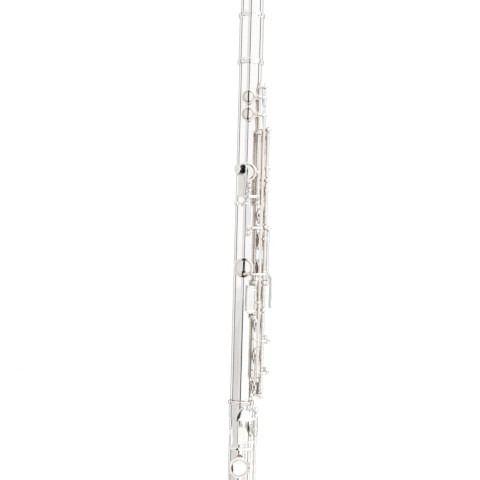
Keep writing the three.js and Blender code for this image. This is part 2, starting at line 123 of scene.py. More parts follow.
def noise(tree, scale, stretch=(1, 1, 1), detail=4):
    coordinates = tree.nodes.new("ShaderNodeTexCoord")
    mapping = tree.nodes.new("ShaderNodeMapping")
    mapping.inputs["Scale"].default_value = stretch
    texture = tree.nodes.new("ShaderNodeTexNoise")
    texture.inputs["Scale"].default_value = scale
    texture.inputs["Detail"].default_value = detail
    tree.links.new(coordinates.outputs["Object"], mapping.inputs["Vector"])
    tree.links.new(mapping.outputs["Vector"], texture.inputs["Vector"])
    return texture.outputs["Fac"]


def ranged(tree, source, low, high, start=0.35, end=0.65):
    """The source's values from start to end, spread over low to high."""
    node = tree.nodes.new("ShaderNodeMapRange")
    node.inputs["From Min"].default_value = start
    node.inputs["From Max"].default_value = end
    node.inputs["To Min"].default_value = low
    node.inputs["To Max"].default_value = high
    tree.links.new(source, node.inputs["Value"])
    return node.outputs["Result"]


def colour_mix(tree, first, factor):
    """A mix that starts from the first colour."""
    mix = tree.nodes.new("ShaderNodeMix")
    mix.data_type = "RGBA"
    mix.inputs["A"].default_value = (*first, 1)
    tree.links.new(factor, mix.inputs["Factor"])
    return mix


def bumped(tree, shader, height, strength, distance):
    bump = tree.nodes.new("ShaderNodeBump")
    bump.inputs["Strength"].default_value = strength
    bump.inputs["Distance"].default_value = distance
    tree.links.new(height, bump.inputs["Height"])
    tree.links.new(bump.outputs["Normal"], shader.inputs["Normal"])


def metal(name, bright, dull, rough, scratch=0.03, painted_crevice_shade=None):
    """Polished metal: handling haze, patchy tarnish, fine scratches, and painted shade in the
    crevices, which the silvers tint warm as a painted reflection of the pads.
    """
    material, tree, shader = node_tree(name)
    shader.inputs["Metallic"].default_value = 1.0
    haze = noise(tree, 60)
    tree.links.new(ranged(tree, haze, *rough), shader.inputs["Roughness"])
    tarnish = noise(tree, 22, detail=6)
    open_metal = colour_mix(tree, bright, ranged(tree, tarnish, 0, 1, 0.5, 0.8))
    open_metal.inputs["B"].default_value = (*dull, 1)
    # Painted shade: an occlusion mask darkens the colour in crevices, between rods and round parts
    # towards the crevice colour, which for the silvers is warm as a painted reflection of the pads.
    depth = tree.nodes.new("ShaderNodeAmbientOcclusion")
    depth.samples = 8
    depth.inputs["Distance"].default_value = 0.0025
    painted_shade_mask = ranged(tree, depth.outputs["AO"], 0, 1, 0.3, 0.85)
    painted_shade_mix = colour_mix(tree, painted_crevice_shade or dull, painted_shade_mask)
    tree.links.new(open_metal.outputs["Result"], painted_shade_mix.inputs["B"])
    tree.links.new(painted_shade_mix.outputs["Result"], shader.inputs["Base Color"])
    scratches = noise(tree, 900, (1, 1, 0.06), 2)
    bumped(tree, shader, scratches, scratch, 0.00002)
    return material


def soft(name, light, dark, scale, rough, depth=0.00008):
    """Pad skin or cork: a grain in the colour, the roughness and the surface."""
    material, tree, shader = node_tree(name)
    grain = noise(tree, scale, detail=8)
    mix = colour_mix(tree, light, ranged(tree, grain, 0, 1))
    mix.inputs["B"].default_value = (*dark, 1)
    tree.links.new(mix.outputs["Result"], shader.inputs["Base Color"])
    tree.links.new(ranged(tree, grain, rough, rough - 0.2), shader.inputs["Roughness"])
    bumped(tree, shader, grain, 0.4, depth)
    return material


# The last colour given to each silver is its painted crevice shade, warm as a painted reflection of
# the pads.
SILVER = metal(
    "silver", (0.91, 0.905, 0.9), (0.83, 0.81, 0.79), (0.02, 0.06), 0.03, (0.6, 0.47, 0.36)
)
KEY_SILVER = metal(
    "key silver", (0.9, 0.895, 0.885), (0.8, 0.77, 0.73), (0.03, 0.09), 0.05, (0.6, 0.38, 0.16)
)
STEEL = metal("steel", (0.62, 0.63, 0.65), (0.45, 0.45, 0.46), (0.16, 0.3), 0.08)
BLUED = metal("blued spring steel", (0.10, 0.13, 0.24), (0.06, 0.07, 0.12), (0.2, 0.35))
SKIN = soft("pad skin", (0.80, 0.56, 0.27), (0.66, 0.40, 0.17), 260, 0.55)
CORK = soft("cork", (0.62, 0.42, 0.25), (0.34, 0.20, 0.11), 480, 0.95, 0.0003)


# ---- mesh building, in millimetres ----
def circle(count):
    """The angles of points round a circle, in radians."""
    return [2 * math.pi * i / count for i in range(count)]


def outward(angle):
    """The direction away from the tube at an angle."""
    a = math.radians(angle)
    return Vector((-math.sin(a), -math.cos(a), 0))


def place(point, z):
    """An (up, side) point in the shared frame."""
    return Vector((-point[1], -point[0], z))


def polar(angle, r):
    """An angle and a radius as (up, side)."""
    a = math.radians(angle)
    return (r * math.cos(a), r * math.sin(a))


def facing(angle, point):
    """(across, out) as someone facing the tube at an angle sees it, as (up, side)."""
    across, out = point
    c, s = math.cos(math.radians(angle)), math.sin(math.radians(angle))
    return (out * c + across * s, out * s - across * c)


def seen_from(angle, point):
    """The other way round: (up, side) as (across, out)."""
    up, side = point
    c, s = math.cos(math.radians(angle)), math.sin(math.radians(angle))
    return (up * s - side * c, up * c + side * s)


def frame_at(angle, z, across=0.0, out=0.0):
    """Axes of a plate that faces an angle: x across, y along the flute, z out."""
    n = outward(angle)
    origin = place(facing(angle, (across, out)), z)
    return Matrix((
        (-n.y, 0, n.x, origin.x),
        (n.x, 0, n.y, origin.y),
        (0, 1, 0, origin.z),
        (0, 0, 0, 1),
    ))


def along(start, end):
    """Axes with the origin at start and z towards end."""
    turn = (end - start).to_track_quat("Z", "Y").to_matrix().to_4x4()
    return Matrix.Translation(start) @ turn


def at_line(line, z=0.0):
    return Matrix.Translation(place(line, z))


def spun(profile, matrix=None, sides=48, loop=False):
    """(radius, height) points turned about z, from axis to axis or closed on themselves."""
    matrix = matrix or Matrix.Identity(4)
    points, rings = [], []
    for r, h in profile:
        if r < ON_AXIS:
            rings.append([len(points)])
            points.append(matrix @ Vector((0, 0, h)))
            continue
        rings.append(list(range(len(points), len(points) + sides)))
        points += [matrix @ Vector((r * math.cos(a), r * math.sin(a), h)) for a in circle(sides)]
    faces = []
    following = rings[1:] + rings[:1] if loop else rings[1:]
    for low, high in zip(rings, following):
        for i in range(sides):
            j = (i + 1) % sides
            if len(low) == 1 and len(high) == 1:
                continue
            if len(low) == 1:
                faces.append((low[0], high[j], high[i]))
            elif len(high) == 1:
                faces.append((low[i], low[j], high[0]))
            else:
                faces.append((low[i], low[j], high[j], high[i]))
    return points, faces


def stacked(rings, closed_ends=True):
    """Rings of the same number of points joined into a skin."""
    points = [point for ring in rings for point in ring]
    count = len(rings[0])
    faces = []
    for level in range(len(rings) - 1):
        a, b = level * count, (level + 1) * count
        for i in range(count):
            j = (i + 1) % count
            faces.append((a + i, a + j, b + j, b + i))
    if closed_ends:
        faces.append(tuple(reversed(range(count))))
        faces.append(tuple(range((len(rings) - 1) * count, len(rings) * count)))
    return points, faces


def smooth_path(points):
    """A Catmull-Rom curve through the points."""
    ends = [points[0]] + list(points) + [points[-1]]
    curve = []
    for i in range(1, len(ends) - 2):
        p0, p1, p2, p3 = (Vector(p) for p in ends[i - 1 : i + 3])
        for k in range(CURVE_STEPS):
            t = k / CURVE_STEPS
            curve.append(
                0.5 * (2 * p1 + (p2 - p0) * t + (2 * p0 - 5 * p1 + 4 * p2 - p3) * t**2
                       + (3 * p1 - p0 - 3 * p2 + p3) * t**3)
            )
    curve.append(Vector(ends[-2]))
    return curve


def rounded(count, power):
    """A circle at a power of 1, squarer below it."""
    section = []
    for a in circle(count):
        c, s = math.cos(a), math.sin(a)
        section.append((math.copysign(abs(c) ** power, c), math.copysign(abs(s) ** power, s)))
    return section


def arm(path, z, width, end_width):
    """A forged arm that follows (up, side) points across the flute and tapers along its way."""
    curve = smooth_path(path)
    rings = []
    for i, point in enumerate(curve):
        ahead, behind = curve[min(i + 1, len(curve) - 1)], curve[max(i - 1, 0)]
        t = (ahead - behind).normalized()
        n = Vector((-t.y, t.x))
        w = ARM_SLIM * (width + (end_width - width) * i / (len(curve) - 1))
        rings.append([
            place(point + n * a * ARM_THICK / 2, z + b * w / 2) for a, b in rounded(20, 0.95)
        ])
    return stacked(rings)


def touch(outline, thickness, matrix, dome=0.18):
    """A plate for a finger, with soft edges and a slightly raised middle.

    outline is (x, y) points round its middle.
    """
    levels = [(0.9, 0), (0.98, 0.15), (1, 0.4), (1, 0.7), (0.97, 0.92), (0.9, 1)]
    levels = [(k, thickness * h) for k, h in levels]
    levels += [(k, thickness + dome * (1 - (k / 0.9) ** 2)) for k in (0.7, 0.45, 0.2)]
    return stacked([[matrix @ Vector((x * k, y * k, h)) for x, y in outline] for k, h in levels])


def outline_of(half_width, half_length, power=0.5, count=40):
    return [(x * half_width, y * half_length) for x, y in rounded(count, power)]


def rod(line, z0, z1, radius, edge=EDGE):
    profile = [
        (0, z0), (radius - edge, z0), (radius, z0 + edge),
        (radius, z1 - edge), (radius - edge, z1), (0, z1),
    ]
    return spun(profile, at_line(line), HINGE_SIDES)


def hinge_tube(line, z0, z1):
    profile = [
        (HINGE_BORE_R, z0), (HINGE_R - EDGE, z0), (HINGE_R, z0 + EDGE),
        (HINGE_R, z1 - EDGE), (HINGE_R - EDGE, z1), (HINGE_BORE_R, z1),
    ]
    return spun(profile, at_line(line), HINGE_SIDES, loop=True)


def merged(parts):
    points, faces = [], []
    for part_points, part_faces in parts:
        start = len(points)
        points.extend(part_points)
        faces.extend(tuple(start + i for i in face) for face in part_faces)
    return points, faces


def make(name, parts, material, body, nodes=(), turn=None, bevel=0.0):
    """One piece of the flute, riding on its CAD body and standing for its CAD nodes."""
    points, faces = merged(parts)
    turn = turn or Matrix.Identity(4)
    name = "shown_" + name
    mesh = bpy.data.meshes.new(name)
    mesh.from_pydata([tuple((turn @ p) * MM) for p in points], [], faces)
    mesh.validate()
    mesh.shade_smooth()
    mesh.set_sharp_from_angle(angle=SMOOTH_ANGLE)
    mesh.materials.append(material)
    piece = bpy.data.objects.new(name, mesh)
    bpy.context.collection.objects.link(piece)
    if bevel:
        modifier = piece.modifiers.new("edge", "BEVEL")
        modifier.width = bevel * MM
        modifier.segments = 2
        modifier.limit_method = "ANGLE"
        modifier.angle_limit = math.radians(40)
    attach(piece, body)
    if nodes:
        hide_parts(*nodes)
    return piece


# ---- tubes ----
def cut(piece, drills):
    """Takes the drills out of a piece."""
    points, faces = merged(drills)
    mesh = bpy.data.meshes.new("drills")
    mesh.from_pydata([tuple(p * MM) for p in points], [], faces)
    tool = bpy.data.objects.new("drills", mesh)
    bpy.context.collection.objects.link(tool)
    modifier = piece.modifiers.new("holes", "BOOLEAN")
    modifier.operation = "DIFFERENCE"
    modifier.solver = "EXACT"
    modifier.object = tool
    bpy.context.view_layer.update()
    evaluated = piece.evaluated_get(bpy.context.evaluated_depsgraph_get())
    result = bpy.data.meshes.new_from_object(evaluated)
    piece.modifiers.clear()
    piece.data = result
    result.shade_smooth()
    result.set_sharp_from_angle(angle=SMOOTH_ANGLE)
    bpy.data.objects.remove(tool)


def chimney(z, angle, cup):
    """A drawn tone hole: a flare up from the tube to a rolled rim."""
    r = cup - HOLE_INSET
    outer = r + CHIMNEY_WALL
    rim = outer + 0.12
    profile = [
        (r, SEAT - 3.2), (r, SEAT - 0.25), (r + 0.2, SEAT), (outer - 0.2, SEAT),
        (rim, SEAT - 0.2), (rim, SEAT - 0.5), (outer - 0.05, SEAT - 0.8), (outer, SEAT - 2.2),
        (outer + 0.5, SEAT - 3.2),
    ]
    return spun(profile, frame_at(angle, z), HOLE_SIDES, loop=True)


def drill(z, angle, cup):
    r = cup - HOLE_INSET
    return spun([(0, 3), (r, 3), (r, 12.5), (0, 12.5)], frame_at(angle, z), HOLE_SIDES)


def tube_with_holes(name, profile, holes, body):
    tube = make(name, [spun(profile, sides=TUBE_SIDES, loop=True)], SILVER, body, [name])
    cut(tube, [drill(*hole) for hole in holes.values()])
    make(name + "_chimneys", [chimney(*hole) for hole in holes.values()], SILVER, body)


def beads(r, z0, z1, count=3):
    """Turned beads round a ring, one above another, as points of its profile."""
    step = (z1 - z0) / count
    profile = []
    for i in range(count):
        low = z0 + i * step
        profile += [
            (r - BEAD_DEPTH, low), (r - BEAD_DEPTH * 0.2, low + step * 0.2),
            (r, low + step * 0.5), (r - BEAD_DEPTH * 0.2, low + step * 0.8),
        ]
    profile.append((r - BEAD_DEPTH, z1))
    return profile


middle_profile = [
    (BORE_R, TENON_END), (TENON_R - 0.2, TENON_END), (TENON_R, TENON_END + 0.3),
    (TENON_R, FOOT_TOP + 0.4), (TUBE_R, FOOT_TOP + 0.7), (TUBE_R, MIDDLE_TOP), (BORE_R, MIDDLE_TOP),
]
tube_with_holes("middle_tube", middle_profile, HOLES, "middle_joint")
foot_profile = [
    (BORE_R, 0), (RING_R - 0.9, 0), *beads(RING_R - 0.5, 0.3, 3.0, 2), (TUBE_R, 3.6),
    (TUBE_R, SOCKET_BOTTOM - 0.6), (SOCKET_R, SOCKET_BOTTOM), (SOCKET_R, FOOT_TOP - 3.8),
    *beads(RING_R, FOOT_TOP - 3.5, FOOT_TOP - 0.4), (RING_R - 0.6, FOOT_TOP),
    (SOCKET_BORE_R, FOOT_TOP), (SOCKET_BORE_R, SOCKET_BOTTOM + 0.6), (BORE_R, SOCKET_BOTTOM + 0.6),
]
tube_with_holes("foot_tube", foot_profile, FOOT_HOLES, "foot_joint")
barrel_profile = [
    (BARREL_BORE_R, BARREL_LOW), (RING_R - 0.4, BARREL_LOW),
    *beads(RING_R, BARREL_LOW + 0.3, BARREL_LOW + 3.6), (SOCKET_R, BARREL_LOW + 4.2),
    (SOCKET_R, BARREL_HIGH - 4.2), *beads(RING_R, BARREL_HIGH - 3.6, BARREL_HIGH - 0.3),
    (RING_R - 0.4, BARREL_HIGH), (BARREL_BORE_R, BARREL_HIGH),
]
barrel = spun(barrel_profile, sides=TUBE_SIDES, loop=True)
make("barrel", [barrel], SILVER, "middle_joint", ["barrel"])
solder_profile = [
    (TUBE_R - 0.1, BARREL_LOW - 0.5), (TUBE_R + 0.25, BARREL_LOW - 0.5),
    (TUBE_R + 0.4, BARREL_LOW), (TUBE_R - 0.1, BARREL_LOW),
]
make("solder_line", [spun(solder_profile, sides=96, loop=True)], SILVER, "middle_joint")


# ---- posts, ribs, steels ----
def slotted_head(line, z, towards):
    """The end of a pivot screw: two half discs with a driver's slot between them."""
    start = math.asin(SLOT_HALF / SCREW_R)
    halves = []
    for turn in (0, math.pi):
        arc = [start + (math.pi - 2 * start) * i / 12 + turn for i in range(13)]
        rings = []
        for k, h in ((1, 0), (1, 0.35), (0.9, 0.45)):
            r = k * SCREW_R
            edge = [(line[0] + r * math.sin(a), line[1] + r * math.cos(a)) for a in arc]
            rings.append([place(point, z + towards * h) for point in edge])
        halves.append(stacked(rings))
    low, high = sorted((z, z + towards * 0.15))
    return merged(halves + [rod(line, low, high, SCREW_R * 0.98, 0.02)])


def post(line, z, foot_angle, foot_r):
    """A turned post: a flared foot, a waist, a collar and a ball head."""
    head, foot = place(line, z), place(polar(foot_angle, foot_r), z)
    reach = (head - foot).length
    neck = reach - BALL_R
    stem = [
        (0, -0.8), (STEM_R + 0.75, -0.8), (STEM_R + 0.7, 0.2), (STEM_R + 0.25, 0.7), (STEM_R, 1.3),
        (STEM_R - 0.12, reach * 0.5), (STEM_R, neck - 0.5), (STEM_R + 0.45, neck - 0.1),
        (STEM_R + 0.45, neck + 0.35), (STEM_R + 0.1, neck + 0.7), (0, reach - 1),
    ]
    half_circle = [math.pi * i / 20 for i in range(1, 20)]
    ball = [(BALL_R * math.sin(a), -BALL_R * math.cos(a)) for a in half_circle]
    ball = [(0, -BALL_R * 0.97), *ball, (0, BALL_R * 0.97)]
    return merged([spun(stem, along(foot, head), 32), spun(ball, at_line(line, z), 36)])


def rib(angle_from, angle_to, z0, z1):
    """A long plate, curved to the tube, that the posts stand on."""
    shares = [i / 10 for i in range(11)]
    corners = [polar(angle_from + (angle_to - angle_from) * k, RIB_OUT_R) for k in shares]
    corners += [polar(angle_to + (angle_from - angle_to) * k, RIB_IN_R) for k in shares]
    return stacked([[place(c, z) for c in corners] for z in (z0, z1)])


# line: (the angle that its posts' feet stand at, places along the flute)
RIB_POSTS = {
    "main": (50.5, (364, 320.3, 279.5, 231.5, 207.7, 133.4)),
    "trill": (55.3, (401, 147)),
    "back": (60, (361, 300.5, 231, 201.3)),
    "offset": (50.5, (278.5, 231.3)),
}
THUMB_RIB_POSTS = {"flat": (99.9, (314.4, 274))}
FOOT_POSTS = {"foot_post_top": 121.5, "foot_post_middle": 54.5, "foot_post_bottom": 24}

for rib_name, rib_plate, lines in (
    ("key_rib", (47.5, 63.5, 131.5, 405), RIB_POSTS),
    ("thumb_rib", (95, 105, 271, 317), THUMB_RIB_POSTS),
):
    parts = [rib(*rib_plate)]
    for line_name, (foot_angle, places) in lines.items():
        parts += [post(LINES[line_name], z, foot_angle, POST_FOOT_R) for z in places]
    make(rib_name, parts, KEY_SILVER, "middle_joint", [rib_name], bevel=EDGE)

for post_name, z in FOOT_POSTS.items():
    base = SOCKET_R if z > SOCKET_BOTTOM else TUBE_R
    low, high = (place(polar(FOOT_LINE_ANGLE, r), z) for r in (base - 0.6, 20))
    flange_profile = [(0, 0), (2.5, 0), (2.5, 1.1), (2.2, 1.4), (1.4, 1.6), (0, 1.7)]
    flange = spun(flange_profile, along(low, high), 40)
    parts = [post(LINES["foot"], z, FOOT_LINE_ANGLE, base + 0.6), flange]
    make(post_name, parts, KEY_SILVER, "foot_joint", [post_name])

# steel: (line, ends along the flute, body)
STEELS = {
    "c_sharp_steel": ("main", 320.7, 366, "middle_joint"),
    "lower_steel": ("main", 131.4, 231.2, "middle_joint"),
    "offset_steel": ("offset", 229.3, 280.5, "middle_joint"),
    "thumb_steel": ("back", 298.5, 363, "middle_joint"),
    "thumb_flat_steel": ("flat", 272, 316.6, "middle_joint"),
    "side_steel": ("back", 199.3, 233, "middle_joint"),
    "foot_steel": ("foot", 22, 123.5, "foot_joint"),
    "d_sharp_trill_steel": ("trill", 145, 403, "d_sharp_trill"),
}
for steel_name, (line_name, z0, z1, body) in STEELS.items():
    line = LINES[line_name]
    parts = [rod(line, z0, z1, STEEL_R), slotted_head(line, z1, 1), slotted_head(line, z0, -1)]
    make(steel_name, parts, STEEL, body, [steel_name])


# ---- keys ----
def lift_turn(line, angle, lift):
    """The turn about a line that lifts a cup off its seat."""
    out = outward(angle)
    x, y = out.x * SEAT + line[1], out.y * SEAT + line[0]
    return lift / (-y * out.x + x * out.y)


def cup_shell(z, angle, cup):
    """A closed cup: a turned wall, a small step and a shallow crown."""
    profile = [
        (0, SEAT + 2.6), (cup - 0.6, SEAT + 2.6), (cup - 0.55, SEAT + 0.95),
        (cup - 0.12, SEAT + 0.85), (cup, SEAT + 1.0), (cup, SEAT + 2.7), (cup - 0.12, SEAT + 3.05),
        (cup - 0.4, SEAT + 3.28), (cup - 0.75, SEAT + 3.36), (cup * 0.83, SEAT + 3.4),
        (cup * 0.81, SEAT + 2.85), (cup * 0.75, SEAT + 2.75), (cup * 0.72, SEAT + 2.9),
        (cup * 0.7, SEAT + 3.42),
    ]
    crown, rise = cup * 0.7, 0.06 * cup
    shares = (0.9, 0.75, 0.6, 0.45, 0.3, 0.15, 0)
    profile += [(crown * k, SEAT + 3.42 + rise * (1 - k * k)) for k in shares]
    return spun(profile, frame_at(angle, z), 72)


def pad_disc(z, angle, cup):
    r = cup - 0.75
    profile = [
        (0, SEAT + PAD_GAP), (r - 0.9, SEAT + PAD_GAP), (r - 0.35, SEAT + 0.2),
        (r - 0.08, SEAT + 0.5), (r, SEAT + 0.95), (r, SEAT + 2.55), (0, SEAT + 2.55),
    ]
    return spun(profile, frame_at(angle, z), HOLE_SIDES)


def cup_arm(line, z, angle, edge, top=SEAT + 2.9):
    """The arm from a hinge tube to the edge of a cup or touch."""
    across, out = seen_from(angle, line)
    end = math.copysign(edge, across)
    path = [
        (across, out),
        (across + (end - across) * 0.2, out + 0.6 * (top + 0.5 - out)),
        ((across + end) / 2, top + 0.35),
        (end, top),
    ]
    return arm([facing(angle, p) for p in path], z, CUP_ARM_ROOT, CUP_ARM_TIP)


def web(line, z, angle, cup):
    """The pointed plate that runs from a cup's wall in to its hinge tube."""
    across, out = seen_from(angle, line)
    reach, rise = abs(across), out - (SEAT + 2.6)
    tangent = math.acos(min(0.95, cup / reach))
    sense = math.copysign(1, across)
    side = [(cup * 0.96 * math.cos(tangent), cup * 0.96 * math.sin(tangent))]
    for k in (0.15, 0.35, 0.6, 0.85, 1):
        side.append((cup + (reach - cup) * k, 1.25 + (cup * 0.5 - 1.25) * (1 - k) ** 2.2))
    outline = side + [(x, -y) for x, y in reversed(side)]
    axes = frame_at(angle, z)
    rings = []
    for level in (0, WEB_THICK):
        ring = []
        for x, y in outline:
            lift = rise * max(0.0, (x - cup) / (reach - cup)) ** 1.5
            ring.append(axes @ Vector((sense * x, y, SEAT + 2.1 + lift + level)))
        rings.append(ring)
    return stacked(rings)


def collar(line, z):
    """The thicker sleeve where an arm is soldered on a hinge tube."""
    half = [(COLLAR_R, 0.4), (COLLAR_R - 0.1, 0.7), (HINGE_R + 0.1, 1), (HINGE_BORE_R, 1)]
    profile = [(r, z - COLLAR_HALF * k) for r, k in reversed(half)]
    profile += [(r, z + COLLAR_HALF * k) for r, k in half]
    return spun(profile, at_line(line), HINGE_SIDES, loop=True)


def key(name, body, line_name, tubes, holes=(), extras=(), pinned=(), lift=0.0, collars=()):
    """A key on its line: hinge tubes, cups with arms and pads, and its own extras.

    pinned are steels that turn with it, and lift holds it open above its holes at rest.
    """
    line = LINES[line_name]
    turn = Matrix.Identity(4)
    table = {**HOLES, **FOOT_HOLES}
    if lift:
        spin = Matrix.Rotation(lift_turn(line, table[holes[0]][1], lift), 4, "Z")
        turn = at_line(line) @ spin @ at_line(line).inverted()
    parts = [hinge_tube(line, *tube) for tube in tubes]
    parts += [rod(line, *span, STEEL_R) for span in pinned]
    parts += [collar(line, z) for z in collars]
    for hole in holes:
        z, angle, cup = table[hole]
        parts += [cup_shell(z, angle, cup), cup_arm(line, z, angle, cup - 0.5)]
        parts.append(web(line, z, angle, cup))
        if any(low + COLLAR_ROOM < z < high - COLLAR_ROOM for low, high in tubes):
            parts.append(collar(line, z))
    parts += extras
    make(name, parts, KEY_SILVER, body, [name], turn=turn)
    for hole in holes:
        pad = hole + "_pad"
        make(pad, [pad_disc(*table[hole])], SKIN, body, [pad], turn)
    return turn


key(
    "c_sharp_key", "c_sharp", "main", [(322.8, 361.5)], ["c_sharp"],
    [
        cup_arm(LINES["main"], 330.5, 0, 4.5, ARM_OUT + 0.3),
        touch(outline_of(6, 6, 1.0, 48), TOUCH_THICK, frame_at(0, 330.5, 0, ARM_OUT - 0.2)),
    ],
    lift=LIFT, collars=[330.5],
)
key(
    "a_sharp_key", "a_sharp", "main", [(303.2, 317.8), (234, 277)], ["a_sharp"],
    [arm([LINES["main"], (13.2, 15.9), (11.6, 17.6)], 269.3, 3, 2.2)],
    pinned=[(231.6, 320.2)], lift=LIFT, collars=[269.3, 240],
)
for body, line_name, tube, holes in (
    ("a", "main", (282, 302.9), ["a"]),
    ("g", "offset", (240.7, 276), ["g_upper", "g_lower"]),
    ("f_sharp", "main", (210.2, 229), ["f_sharp"]),
    ("f", "main", (185, 205.2), ["f"]),
    ("e", "main", (157.5, 184.7), ["e"]),
    ("d", "main", (135.9, 157.2), ["d"]),
):
    key(body + "_key", body, line_name, [tube], holes, lift=LIFT)

g_sharp_arm = [
    LINES["offset"], (18.6, 10.8), (17.6, 14.2), (15.2, 16.4), (11.5, 17.6),
    (6.5, 18.2), (1.5, 17.8), (-2.5, 16.2), (-5.75, 14.75),
]
key(
    "g_sharp_key", "g_sharp", "offset", [(233.8, 240.4)],
    extras=[
        cup_shell(*HOLES["g_sharp"]),
        arm(g_sharp_arm, 238.5, 2.7, 2.0),
        arm([LINES["offset"], (20.8, 4.5), (23.6, 0), (24.9, -4)], 235.8, 3.6, 3),
        touch(outline_of(4.4, 13.5), 1.5, frame_at(5, 222, 6, 24.4)),
    ],
)
make("g_sharp_pad", [pad_disc(*HOLES["g_sharp"])], SKIN, "g_sharp", ["g_sharp_pad"])


def trill_touch(z, half_length):
    """A trill key's button and the arm that carries it round the tube."""
    path = [LINES["trill"], (11.6, 16.8), (15.6, 16.8), (19, 14), (20.9, 9), (21, 3)]
    button = touch(outline_of(4.9, half_length, 0.9), 1.9, frame_at(0, z, 0, 20.2), 0.9)
    return [arm(path, z, 2.6, 2.2), button]


key(
    "d_trill_key", "d_trill", "trill", [(176, 383.8)], ["d_trill"],
    trill_touch(181, 4), collars=[181],
)
key("d_sharp_trill_key", "d_sharp_trill", "trill", [(384.1, 398.5)], ["d_sharp_trill"])
key(
    "d_sharp_trill_lever", "d_sharp_trill", "trill", [(149.5, 175.7)],
    extras=trill_touch(153.4, 3.6), collars=[153.4],
)
key(
    "thumb_key", "thumb", "back", [(303, 358.5)], ["thumb"],
    [
        arm([LINES["back"], (4.6, 17.4), (0.5, 18.9), (-4.5, 18.2), (-9, 15.2)], 305, 3.2, 2.8),
        touch(outline_of(3.6, 9.7), TOUCH_THICK, frame_at(127, 314.2, 0, 16.4)),
    ],
    lift=THUMB_LIFT, collars=[305.4],
)


def flat_frame(z, across):
    return frame_at(FLAT_TOUCH_ANGLE, z, across, 20.6)


flat_touch_path = [facing(FLAT_TOUCH_ANGLE, p) for p in ((2.6, 18), (1.7, 21.3))]
flat_rest_path = [facing(FLAT_REST_ANGLE, p) for p in ((-3, 15.6), (-8.6, 13.6))]
flat_ball = [(2.3 * math.sin(a), -2.3 * math.cos(a)) for a in [math.pi * i / 20 for i in range(21)]]
key(
    "thumb_flat_lever", "thumb_flat", "flat", [(276.5, 311.9)],
    extras=[
        arm([LINES["flat"], *flat_touch_path], 309.7, 3.6, 2.8),
        touch(outline_of(1.3, 10.5), TOUCH_THICK, flat_frame(320, 1.6), 0.1),
        touch(outline_of(6, 4, 0.6), TOUCH_THICK, flat_frame(328.1, -3.6)),
        arm([LINES["flat"], (-0.5, 17.8), (5, 18.4), (9.6, 17.6)], 278.4, 3.2, 2.2),
        arm([LINES["flat"], *flat_rest_path], 299.2, 2.6, 1.8),
        spun(flat_ball, at_line(flat_rest_path[-1], 299.2), 36),
    ],
    collars=[309.7, 278.8],
)
side_path = [LINES["back"], *(facing(SIDE_TOUCH_ANGLE, p) for p in ((6.4, 17), (2.6, 18.4)))]
key(
    "side_lever", "side_b_flat", "back", [(203.7, 228.6)],
    extras=[
        *(arm(side_path, z + 1.4, 2.8, 2.6) for z in (205.4, 223.6)),
        touch(outline_of(3.5, 12), TOUCH_THICK, frame_at(SIDE_TOUCH_ANGLE, 216.6, 1.6, 17.7)),
        arm([LINES["back"], (6.6, 17), (9.9, 17.5)], 214.4, 2.8, 2.2),
    ],
)


def foot_arm(z, reach):
    points = [(11.4, 17.2), (8, 18.2), (reach, 18.3)]
    path = [LINES["foot"]] + [facing(FOOT_TOUCH_ANGLE, p) for p in points]
    return arm(path, z + 1.5, 3.2, 2.6)


def foot_touch(outline, z, across):
    return touch(outline, TOUCH_THICK, frame_at(FOOT_TOUCH_ANGLE, z, across, FOOT_TOUCH_OUT))


half_turn = [math.pi * i / 24 for i in range(25)]
half_moon = [(6.8 * math.cos(a), -2.6 + 8 * math.sin(a)) for a in half_turn]
half_moon += [(-6.8, -4.9), (-6.4, -5.2), (6.4, -5.2), (6.8, -4.9)]
key(
    "d_sharp_foot_key", "d_sharp_foot", "foot", [(99.5, 119)], ["d_sharp_foot"],
    [foot_arm(113, 4), foot_touch(half_moon, 117.4, 2.7)],
)
key(
    "c_sharp_foot_key", "c_sharp_foot", "foot", [(57, 99.2)], ["c_sharp_foot"],
    [foot_arm(93, 1), foot_touch(outline_of(4.1, 7.8), 100.4, 0.6)],
    lift=LIFT, collars=[94.5],
)
c_foot_root = [LINES["foot"], *(facing(FOOT_TOUCH_ANGLE, p) for p in ((12, 18), (9.2, 20)))]
c_foot_end = [facing(FOOT_TOUCH_ANGLE, p) for p in ((9.2, 20), (2, 20.4), (-5, 19.2), (-8.4, 17))]
roller_line = c_foot_end[-1]
c_turn = key(
    "c_foot_key", "c_foot", "foot", [(26.5, 52)], ["c_foot"],
    [
        arm(c_foot_root, 50.2, 3.2, 2.8),
        touch(outline_of(1.3, 21.3), 1.5, frame_at(FOOT_TOUCH_ANGLE, 69.5, 9.2, 19.3), 0.1),
        arm(c_foot_end, 89.2, 3.2, 3),
        rod(roller_line, 88.4, 108, 0.8),
    ],
    lift=LIFT,
)
roller_profile = [(1.0, 92.6), (1.8, 92.6), (2, 92.9), (2, 105.7), (1.8, 106), (1.0, 106)]
roller = spun(roller_profile, at_line(roller_line), 40, loop=True)
make("c_roller", [roller], SILVER, "roller", ["c_roller"], turn=c_turn)

# ---- needle springs: thin blued wires from a post towards the tube of the next key ----
NEEDLES = [
    ("main", 364, -22), ("main", 320.3, -14), ("main", 279.5, 16), ("main", 231.5, -14),
    ("main", 207.7, -16), ("main", 133.4, 18), ("trill", 401, -16), ("trill", 147, 20),
    ("back", 361, -24), ("back", 201.3, 18), ("offset", 278.5, -24), ("offset", 231.3, 6),
    ("flat", 314.4, -20),
]
for line_name, z, reach in NEEDLES:
    line = LINES[line_name]
    radius, length = math.hypot(*line), abs(reach)
    start = place([c * (radius - NEEDLE_ROOT_DROP) / radius for c in line], z)
    end = place([c * (radius - NEEDLE_TIP_DROP) / radius for c in line], z + reach)
    profile = [(0, 0), (0.24, 0), (0.2, length * 0.7), (0.1, length), (0, length)]
    wire = spun(profile, along(start, end), 12)
    make("needle_spring", [wire], BLUED, "middle_joint")

